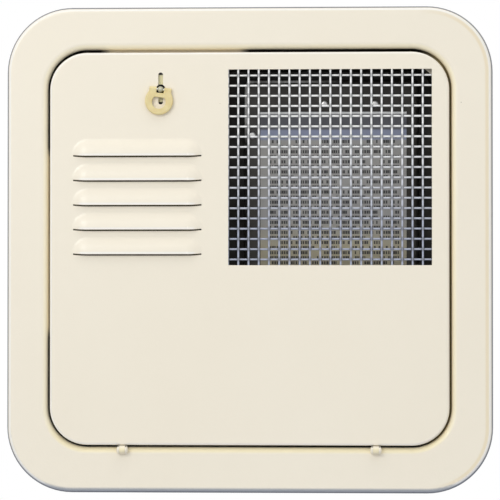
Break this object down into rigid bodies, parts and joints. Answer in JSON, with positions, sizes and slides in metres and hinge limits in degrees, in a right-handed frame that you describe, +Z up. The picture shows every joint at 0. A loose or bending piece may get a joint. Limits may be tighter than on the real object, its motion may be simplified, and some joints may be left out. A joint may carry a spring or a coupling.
{
  "type": "caravan water heater access door",
  "caption": "Square pressed frame with a drop-down access door, louvres, a wire screen window and a pull-ring latch, for a wall cut-out.",
  "frame": {"origin": "middle of the wall cut-out, in the plane of the wall's outer face", "axes": "+X right as seen from outside, +Y into the wall, +Z up; the door swings out about an axis along X at the bottom"},
  "size_m": [0.385, 0.0597, 0.385],
  "materials": {
    "cream_paint": "semi-gloss enamel on pressed sheet",
    "foam": "closed-cell foam strip",
    "plated_steel": "zinc plated",
    "galvanised_wire": "galvanised",
    "dark_sheet": "dark heat-stained sheet",
    "foil": "satin foil",
    "nylon": "yellowed nylon",
    "black_plastic": "black acetal"
  },
  "bodies": {
    "frame": {"frame": "cream_paint", "wall_gasket": "foam", "hinge_bracket_left": "cream_paint", "hinge_bracket_right": "cream_paint", "latch_bracket": "cream_paint", "latch_bracket_rivets": "plated_steel", "latch_bush": "black_plastic", "flue_shield": "dark_sheet", "flue_cover": "dark_sheet", "shield_screws": "plated_steel", "cover_screws": "plated_steel", "foil_plate": "foil"},
    "door": {"door_panel": "cream_paint", "hinge_ears_left": "cream_paint", "hinge_ears_right": "cream_paint", "hinge_pin_left": "cream_paint", "hinge_pin_right": "cream_paint", "screen_wires_upright": "galvanised_wire", "screen_wires_level": "galvanised_wire", "screen_retainer": "plated_steel", "weld_studs": "plated_steel", "push_nuts": "plated_steel"},
    "latch": {"latch_stud": "plated_steel", "ring_pin": "plated_steel", "wave_washer": "plated_steel", "retaining_clip": "plated_steel"},
    "ring": {"pull_ring": "nylon"}
  },
  "joints": [
    {"name": "door_swing", "type": "hinge", "parent": "frame", "child": "door", "pos_m": [0, -0.00885, -0.1582], "axis": [1, 0, 0], "range_deg": [0, 180]},
    {"name": "latch_turn", "type": "hinge", "parent": "frame", "child": "latch", "pos_m": [-0.07, 0, 0.12685], "axis": [0, 1, 0], "continuous": true},
    {"name": "ring_fold", "type": "hinge", "parent": "latch", "child": "ring", "pos_m": [-0.07, -0.0096, 0.12685], "axis": [-0.9925, 0, 0.1219], "range_deg": [0, 180]}
  ]
}
